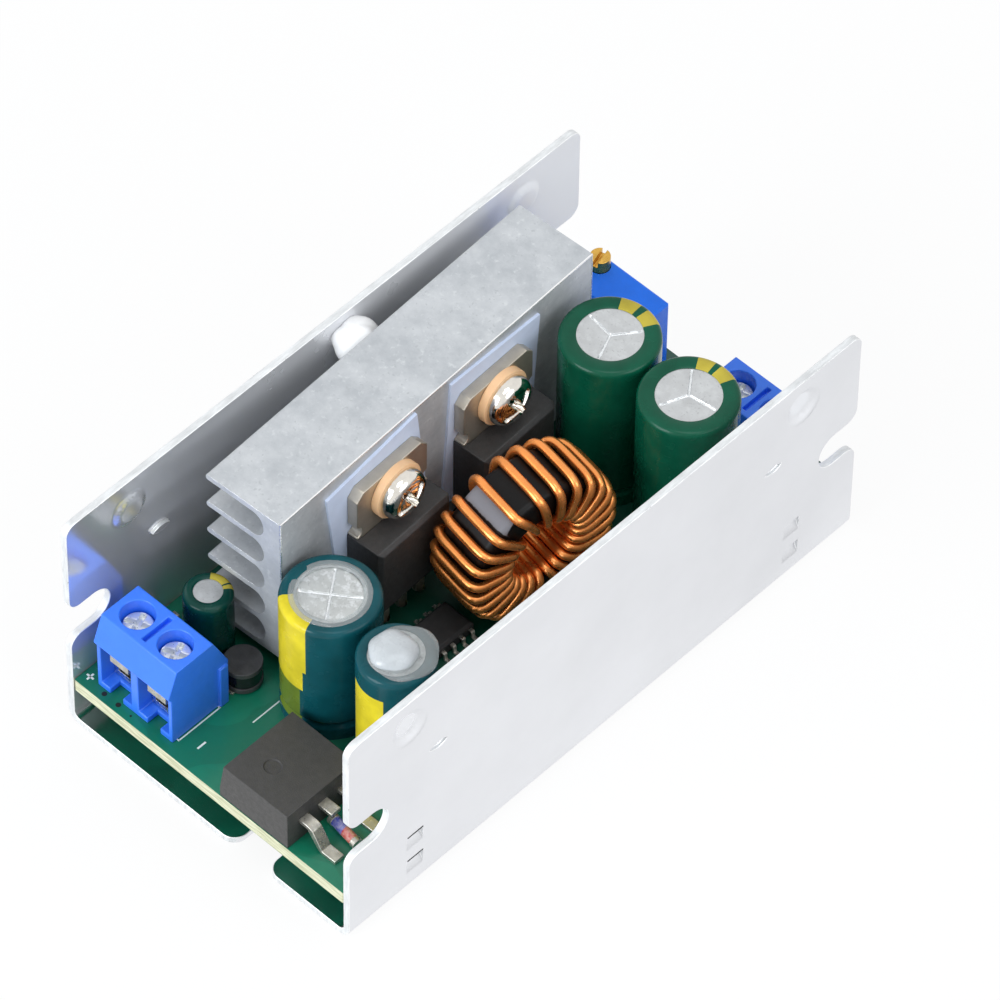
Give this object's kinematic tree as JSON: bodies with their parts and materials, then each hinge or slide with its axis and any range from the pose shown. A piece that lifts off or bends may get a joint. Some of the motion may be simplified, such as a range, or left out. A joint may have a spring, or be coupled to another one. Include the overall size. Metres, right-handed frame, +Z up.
{
  "type": "step-down converter module",
  "caption": "Step-down power converter module in an open folded aluminium tray, with wound ring choke, finned heatsink, capacitors, trimmer and screw terminals.",
  "frame": {"origin": "bottom centre of the tray", "axes": "+Y along the tray from the input end to the output end, +X across it, +Z up out of the open top"},
  "size_m": [0.038, 0.07, 0.0295],
  "materials": {
    "tray_sheet": "satin",
    "heatsink_metal": "satin, mottled",
    "board_green": "gloss",
    "solder": "satin",
    "screw_steel": "satin",
    "clamp_steel": "satin",
    "tinned_metal": "satin",
    "terminal_plastic": "satin",
    "core_black": "matt paint",
    "winding_copper": "gloss enamel",
    "trimmer_plastic": "satin",
    "trimmer_brass": "satin",
    "can_metal": "satin",
    "sleeve_green": "gloss",
    "sleeve_teal": "gloss",
    "package_black": "matt",
    "pad_blue": "matt",
    "bushing_peach": "satin",
    "drum_black": "satin",
    "diode_tube": "gloss",
    "chip_ceramic": "satin",
    "glue_clear": "satin",
    "sealant_white": "satin"
  },
  "bodies": {
    "module": {"tray": "tray_sheet", "circuit_board": "board_green", "solder_joints": "solder", "heatsink": "heatsink_metal", "heatsink_screws": "screw_steel", "choke_core": "core_black", "choke_winding": "winding_copper", "trimmer_body": "trimmer_plastic", "trimmer_pins": "tinned_metal", "power_package_body": "package_black", "power_package_leads": "tinned_metal", "drum_inductor_core": "drum_black", "drum_inductor_coil": "winding_copper", "drum_inductor_feet": "tinned_metal", "controller_body": "package_black", "controller_leads": "tinned_metal", "diode_glass": "diode_tube", "diode_ends": "tinned_metal", "chip_part_bodies": "chip_ceramic", "chip_part_ends": "tinned_metal", "capacitor_glue": "glue_clear", "wall_sealant": "sealant_white", "insulating_pad_near": "pad_blue", "transistor_body_near": "package_black", "transistor_leads_near": "tinned_metal", "bushing_near": "bushing_peach", "insulating_pad_far": "pad_blue", "transistor_body_far": "package_black", "transistor_leads_far": "tinned_metal", "bushing_far": "bushing_peach", "input_terminal_housing": "terminal_plastic", "input_terminal_contacts": "tinned_metal", "output_terminal_housing": "terminal_plastic", "output_terminal_contacts": "tinned_metal", "output_capacitor_a_can": "can_metal", "output_capacitor_a_sleeve": "sleeve_green", "output_capacitor_a_leads": "tinned_metal", "output_capacitor_b_can": "can_metal", "output_capacitor_b_sleeve": "sleeve_green", "output_capacitor_b_leads": "tinned_metal", "input_capacitor_a_can": "can_metal", "input_capacitor_a_sleeve": "sleeve_teal", "input_capacitor_a_leads": "tinned_metal", "input_capacitor_b_can": "can_metal", "input_capacitor_b_sleeve": "sleeve_teal", "input_capacitor_b_leads": "tinned_metal", "supply_capacitor_can": "can_metal", "supply_capacitor_sleeve": "sleeve_green", "supply_capacitor_leads": "tinned_metal"},
    "trimmer_screw": {"trimmer_screw": "trimmer_brass"},
    "input_terminal_screw_1": {"input_terminal_screw_1": "screw_steel"},
    "input_terminal_clamp_1": {"input_terminal_clamp_1": "clamp_steel"},
    "input_terminal_screw_2": {"input_terminal_screw_2": "screw_steel"},
    "input_terminal_clamp_2": {"input_terminal_clamp_2": "clamp_steel"},
    "output_terminal_screw_1": {"output_terminal_screw_1": "screw_steel"},
    "output_terminal_clamp_1": {"output_terminal_clamp_1": "clamp_steel"},
    "output_terminal_screw_2": {"output_terminal_screw_2": "screw_steel"},
    "output_terminal_clamp_2": {"output_terminal_clamp_2": "clamp_steel"}
  },
  "joints": [
    {"name": "trimmer_adjust", "type": "hinge", "parent": "module", "child": "trimmer_screw", "pos_m": [-0.0122, 0.03175, 0.0166], "axis": [0, 0, 1], "continuous": true},
    {"name": "input_screw_turn_1", "type": "hinge", "parent": "module", "child": "input_terminal_screw_1", "pos_m": [-0.01354, -0.0305, 0.01435], "axis": [0, 0, -1], "range_deg": [0, 1010]},
    {"name": "input_clamp_rise_1", "type": "slide", "parent": "module", "child": "input_terminal_clamp_1", "axis": [0, 0, 1], "range_m": [0, 0.00126]},
    {"name": "input_screw_turn_2", "type": "hinge", "parent": "module", "child": "input_terminal_screw_2", "pos_m": [-0.00846, -0.0305, 0.01435], "axis": [0, 0, -1], "range_deg": [0, 1010]},
    {"name": "input_clamp_rise_2", "type": "slide", "parent": "module", "child": "input_terminal_clamp_2", "axis": [0, 0, 1], "range_m": [0, 0.00126]},
    {"name": "output_screw_turn_1", "type": "hinge", "parent": "module", "child": "output_terminal_screw_1", "pos_m": [0.01294, 0.0301, 0.01435], "axis": [0, 0, -1], "range_deg": [0, 1010]},
    {"name": "output_clamp_rise_1", "type": "slide", "parent": "module", "child": "output_terminal_clamp_1", "axis": [0, 0, 1], "range_m": [0, 0.00126]},
    {"name": "output_screw_turn_2", "type": "hinge", "parent": "module", "child": "output_terminal_screw_2", "pos_m": [0.00786, 0.0301, 0.01435], "axis": [0, 0, -1], "range_deg": [0, 1010]},
    {"name": "output_clamp_rise_2", "type": "slide", "parent": "module", "child": "output_terminal_clamp_2", "axis": [0, 0, 1], "range_m": [0, 0.00126]}
  ],
  "couplings": [
    {"joint": "input_screw_turn_1", "follows": "input_clamp_rise_1", "rad_per_m": 13963},
    {"joint": "input_screw_turn_2", "follows": "input_clamp_rise_2", "rad_per_m": 13963},
    {"joint": "output_screw_turn_1", "follows": "output_clamp_rise_1", "rad_per_m": 13963},
    {"joint": "output_screw_turn_2", "follows": "output_clamp_rise_2", "rad_per_m": 13963}
  ]
}
